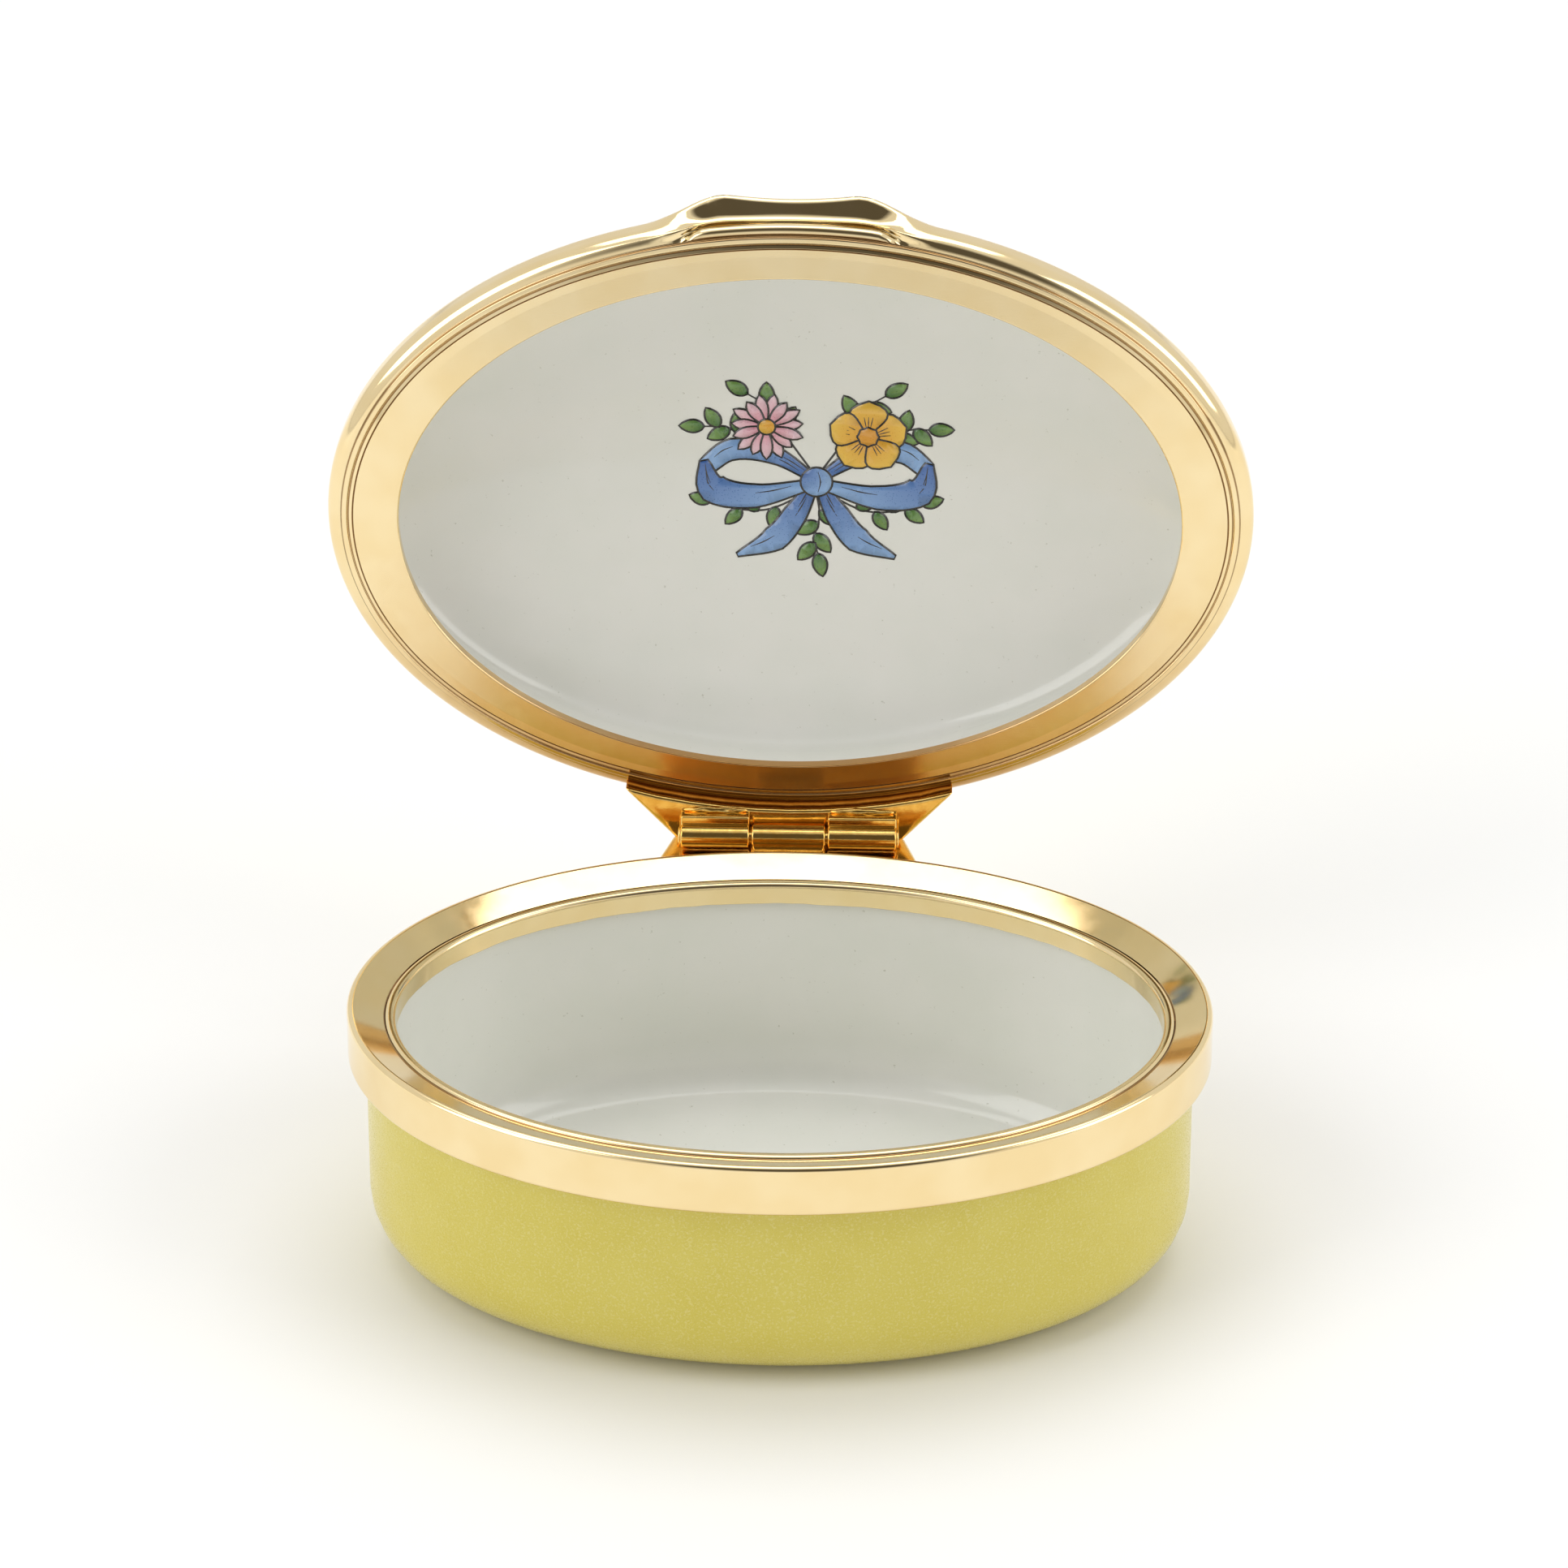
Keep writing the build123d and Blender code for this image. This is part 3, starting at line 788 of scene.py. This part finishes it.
ribbon_parts = (
    ([(0.4, 0.1), (2.6, 1.5), (5.2, 1.9), (6.9, 0.7)], [0.5, 1.1, 1.4, 1.1], 3),
    ([(7.0, 1.1), (6.4, -0.8), (3.8, -1.3), (0.4, -0.5)], [0.5, 1.9, 1.5, 0.6], 4),
    ([(0.3, -0.6), (1.3, -2.5), (2.6, -4.2), (4.9, -5.3)], [0.7, 1.4, 1.6, 0.2], 3),
)
for way in (-1, 1):
    for points, widths, layer in ribbon_parts:
        points = across_middle(points, way)
        draw("blue", band(points, widths), Vector(points[0]), 6.0, layer)
        fold = along_curve(points)
        for start, offset in ((1, 0.16), (2, -0.14), (12, 0.2)):
            crease = [point + Vector((0, offset)) for point in fold[start:start + 5:2]]
            stroke(crease, 0.09, layer)
knot = Vector((0.0, -0.3))
draw("blue", disc(knot, 0.95), knot + Vector((-0.7, 0.5)), 1.6, 5)
stroke([knot + Vector((0.1, 0.7)), knot + Vector((0.25, 0)), knot + Vector((0.1, -0.7))], 0.09, 5)

daisy, daisy_petals = Vector((-3.1, 3.5)), 15
for petal in range(daisy_petals):
    angle = math.tau * petal / daisy_petals + 0.1
    length = 2.2 + 0.15 * math.sin(petal * 2.3)
    draw("pink", leaf(daisy, angle, length, 0.66, 1.5), daisy, 2.2, 6 + petal % 3)
draw("yellow", disc(daisy, 0.5), daisy + Vector((0.2, 0.2)), 0.9, 9)

blossom, blossom_petals = Vector((3.2, 2.9)), 5
for petal in range(blossom_petals):
    angle = math.tau * petal / blossom_petals + 0.3
    draw("yellow", leaf(blossom, angle, 2.45, 2.3, 1.6), blossom, 2.3, 6 + petal % 3)
    for turn in (-0.2, 0.0, 0.2):
        ray = Vector((math.cos(angle + turn), math.sin(angle + turn)))
        stroke([blossom + ray * reach for reach in (0.7, 1.0, 1.4)], 0.07, 8)
draw("yellow", disc(blossom, 0.6, 8, 0.08), blossom, 3.0, 9)

for name, patch in patches.items():
    swing_open(patch)
    finish_piece(patch, f"posy_{name}", [inks[name]], "lid", "white_enamel")

# ==== hinge ===========================================================================
# Behind each rim a cast plate is soldered on, wide at the rim and narrow at the knuckles.
# The centre knuckle belongs to the base and the outer two to the lid. The pin is driven
# through them and its ends are spread. All of it was gilt with the rims, over the marks of
# the file and the solder.
knuckle_round = 0.75
knuckle_gap = 0.15
centre_length, side_length = 4.6, 4.3
side_middle = (centre_length + side_length) / 2 + knuckle_gap
plate_offset = knuckle_round + 0.12
pin_round, pin_play = 0.4, 0.03
pin_head, pin_head_stand = 0.6, 0.15
round_the_pin = 48
plate_bite = 0.5             # plates start this far inside the rim
leaf_parting = 0.1
solder_from, solder_to, solder_back, solder_thick = 2.6, 6.6, 1.4, 0.24


def cast_gilt():
    paint = Paint("cast_gilt")
    where = paint.place()
    skin = paint.grain(where, 1.6, 4.0, 0.6)
    marks = paint.grain(paint.place(0.5, 4.0, 4.0), 2.5, 3.0)
    tone = paint.mix(paint.spread(skin, 0.35, 0.65), rgb(246, 206, 124), rgb(236, 190, 102))
    return paint.surface(
        Base_Color=tone, Metallic=1.0,
        Roughness=paint.spread(skin, 0.3, 0.7, 0.10, 0.17),
        Normal=paint.relief(skin + marks * 0.05, 0.010))


hinge_gilt = cast_gilt()


def barrel(middle, corners):
    """A piece turned about the hinge line, from corners given as (along, radius, round)."""
    turned = bmesh.new()
    line = outline(corners)
    verts = [
        turned.verts.new((middle + along, hinge.y, hinge.z + radius)) for along, radius in line]
    edges = [turned.edges.new(pair) for pair in zip(verts, verts[1:])]
    if corners[0][1] > 0:
        edges.append(turned.edges.new((verts[-1], verts[0])))
    bmesh.ops.spin(
        turned, geom=verts + edges, axis=(1, 0, 0), cent=hinge, angle=math.tau,
        steps=round_the_pin, use_merge=True)
    bmesh.ops.remove_doubles(turned, verts=turned.verts, dist=1e-5)
    bmesh.ops.recalc_face_normals(turned, faces=turned.faces)
    return turned


def knuckle(middle, length, hole):
    half = length / 2
    return barrel(middle, [
        (-half, hole, 0), (-half, knuckle_round, 0.12), (half, knuckle_round, 0.12),
        (half, hole, 0)])


def block(low, high, edge):
    """A block between two corners, with rounded edges."""
    low, high = Vector(low), Vector(high)
    solid = bmesh.new()
    bmesh.ops.create_cube(solid, size=1.0)
    bmesh.ops.scale(solid, vec=high - low, verts=solid.verts)
    bmesh.ops.translate(solid, vec=(low + high) / 2, verts=solid.verts)
    bmesh.ops.bevel(
        solid, geom=solid.edges[:], affect="EDGES", offset=edge, segments=3, profile=0.5,
        material=-1)
    return solid


def plate(root_half, tip_half, tip_y, low, high, width, depth):
    """A cast plate: its root follows the rim's oval, just inside it."""
    casting = bmesh.new()
    root_steps = 10
    root = []
    for step in range(root_steps + 1):
        x = root_half * (1 - 2 * step / root_steps)
        y = (depth - plate_bite) * math.sqrt(1 - (x / (width - plate_bite)) ** 2)
        root.append((x, y, low))
    tips = (-tip_half, tip_y, low), (tip_half, tip_y, low)
    edge = [casting.verts.new(point) for point in (*root, *tips)]
    face = casting.faces.new(edge)
    grown = bmesh.ops.extrude_face_region(casting, geom=[face])
    top = [item for item in grown["geom"] if isinstance(item, bmesh.types.BMVert)]
    bmesh.ops.translate(casting, vec=(0, 0, high - low), verts=top)
    bmesh.ops.recalc_face_normals(casting, faces=casting.faces)
    bmesh.ops.bevel(
        casting, geom=[e for e in casting.edges if e.calc_face_angle(0) > 0.5],
        affect="EDGES", offset=0.22, segments=4, profile=0.5, material=-1)
    return casting


lump_pitch, lump_round = 1.4, 1.2


def solder(start, end, thick, seed, rough=0.35):
    """A run of solder, drawn out between two points, with a lumpy skin."""
    start, end = Vector(start), Vector(end)
    run = bmesh.new()
    bmesh.ops.create_icosphere(run, subdivisions=4, radius=1.0)
    long = (end - start).length / 2
    for vert in run.verts:
        along = vert.co.x * long * lump_pitch + seed
        lump = noise.noise(Vector((along, vert.co.y * lump_round, vert.co.z * lump_round)))
        vert.co.yz *= 1 + rough * lump
    bmesh.ops.scale(run, vec=(long, thick, thick), verts=run.verts)
    facing = (end - start).to_track_quat("X", "Z").to_matrix()
    bmesh.ops.rotate(run, cent=(0, 0, 0), matrix=facing, verts=run.verts)
    bmesh.ops.translate(run, vec=(start + end) / 2, verts=run.verts)
    return run


base_shelf = hinge.z - plate_offset
shelf_low, shelf_back = base_shelf - 1.05, hinge.y + 1.6
base_plate = plate(9.3, 7.2, shelf_back, shelf_low, base_shelf, rim_width, rim_depth)
finish_piece(
    base_plate, "base_hinge_casting", [hinge_gilt], "base", "gilt_hinge", "base_hinge_plate")

centre = knuckle(0, centre_length, pin_round + pin_play)
join(centre, block(
    (-centre_length / 2, hinge.y - 2.6, base_shelf - 0.05),
    (centre_length / 2, hinge.y - 0.45, hinge.z - leaf_parting), 0.1))
finish_piece(centre, "centre_knuckle", [hinge_gilt], "base", "gilt_hinge", "base_knuckle")

lid_shelf = hinge.z + plate_offset
lid_plate = plate(
    10.3, 7.1, hinge.y + 0.65, lid_shelf, lid_shelf + 2.5, lid_rim_width, lid_rim_depth)
for side in (-1, 1):
    run_y = hinge.y - solder_back
    join(lid_plate, solder(
        (side * solder_from, run_y, lid_shelf), (side * solder_to, run_y, lid_shelf),
        solder_thick, 3 * side))
swing_open(lid_plate)
finish_piece(
    lid_plate, "lid_hinge_casting", [hinge_gilt], "lid", "gilt_hinge", "lid_hinge_plate")

for side, way in (("left", -1), ("right", 1)):
    middle = way * side_middle
    side_knuckle = knuckle(middle, side_length, pin_round)
    join(side_knuckle, block(
        (middle - side_length / 2, hinge.y - 1.3, hinge.z + leaf_parting),
        (middle + side_length / 2, hinge.y - 0.4, lid_shelf + 0.05), 0.12))
    swing_open(side_knuckle)
    finish_piece(
        side_knuckle, f"{side}_knuckle", [hinge_gilt], "lid", "gilt_hinge",
        f"lid_knuckle_{side}")

pin_half = side_middle + side_length / 2
pin = barrel(0, [
    (-pin_half - pin_head_stand, 0, 0), (-pin_half - pin_head_stand, pin_head, 0.12),
    (-pin_half, pin_head, 0.02), (-pin_half, pin_round, 0.02), (pin_half, pin_round, 0.02),
    (pin_half, pin_head, 0.02), (pin_half + pin_head_stand, pin_head, 0.12),
    (pin_half + pin_head_stand, 0, 0)])
finish_piece(pin, "driven_pin", [hinge_gilt], "lid", "pin_brass", "hinge_pin")

# ==== floor, light and camera =========================================================
# A plain pale floor, large soft lights and a long lens.
floor_mesh = bmesh.new()
bmesh.ops.create_grid(floor_mesh, x_segments=1, y_segments=1, size=3.0)
floor_data = bpy.data.meshes.new("floor")
floor_mesh.to_mesh(floor_data)
floor_mesh.free()
floor = bpy.data.objects.new("floor", floor_data)
bpy.context.scene.collection.objects.link(floor)
floor_paint = Paint("pale_floor")
floor_paint.surface(Base_Color=rgb(244, 244, 243), Roughness=0.9, Specular_IOR_Level=0.1)
floor_data.materials.append(floor_paint.material)

studio = Paint("studio", bpy.data.worlds)
heading = studio.node("ShaderNodeTexCoord", output="Generated")
dark_heading = Vector((0.1, -0.74, 0.66)).normalized()
towards_dark = studio.node(
    "ShaderNodeVectorMath", {"operation": "DOT_PRODUCT"}, {0: heading, 1: dark_heading}, "Value")
gloom = studio.spread(towards_dark, 0.82, 0.94)
backdrop = studio.mix(gloom, (0.8, 0.8, 0.8, 1), (0.10, 0.09, 0.075, 1))
background = studio.node("ShaderNodeBackground", {}, {"Color": backdrop, "Strength": 1.0})
studio.node("ShaderNodeOutputWorld", {}, {"Surface": background})
bpy.context.scene.world = studio.material


def softbox(name, place, size, power):
    """A large soft light that looks at the box."""
    data = bpy.data.lights.new(name, "AREA")
    data.shape = "RECTANGLE"
    data.size, data.size_y = size
    data.energy = power
    lamp = bpy.data.objects.new(name, data)
    lamp.location = place
    lamp.rotation_euler = Vector(place).to_track_quat("Z", "Y").to_euler()
    bpy.context.scene.collection.objects.link(lamp)


softbox("left_softbox", (-0.7, -0.35, 0.6), (0.5, 0.8), 2.5)
softbox("right_softbox", (0.75, -0.2, 0.5), (0.45, 0.7), 1.8)
softbox("top_softbox", (0.0, 0.25, 0.9), (0.9, 0.5), 2.5)
bpy.context.scene.view_settings.view_transform = "Standard"

aim = Vector((0.27, 0.0, rim_top + 15.67)) * mm
distance, height_angle, side_angle = 0.5, math.radians(31.6), math.radians(1.5)
sight = Vector((
    math.sin(side_angle) * math.cos(height_angle),
    -math.cos(side_angle) * math.cos(height_angle),
    math.sin(height_angle)))
camera_data = bpy.data.cameras.new("camera")
camera_data.lens = 193.3
camera_data.sensor_width = 36.0
camera_data.clip_start = 0.01
camera = bpy.data.objects.new("camera", camera_data)
camera.location = aim + sight * distance
camera.rotation_euler = sight.to_track_quat("Z", "Y").to_euler()
bpy.context.scene.collection.objects.link(camera)
bpy.context.scene.camera = camera
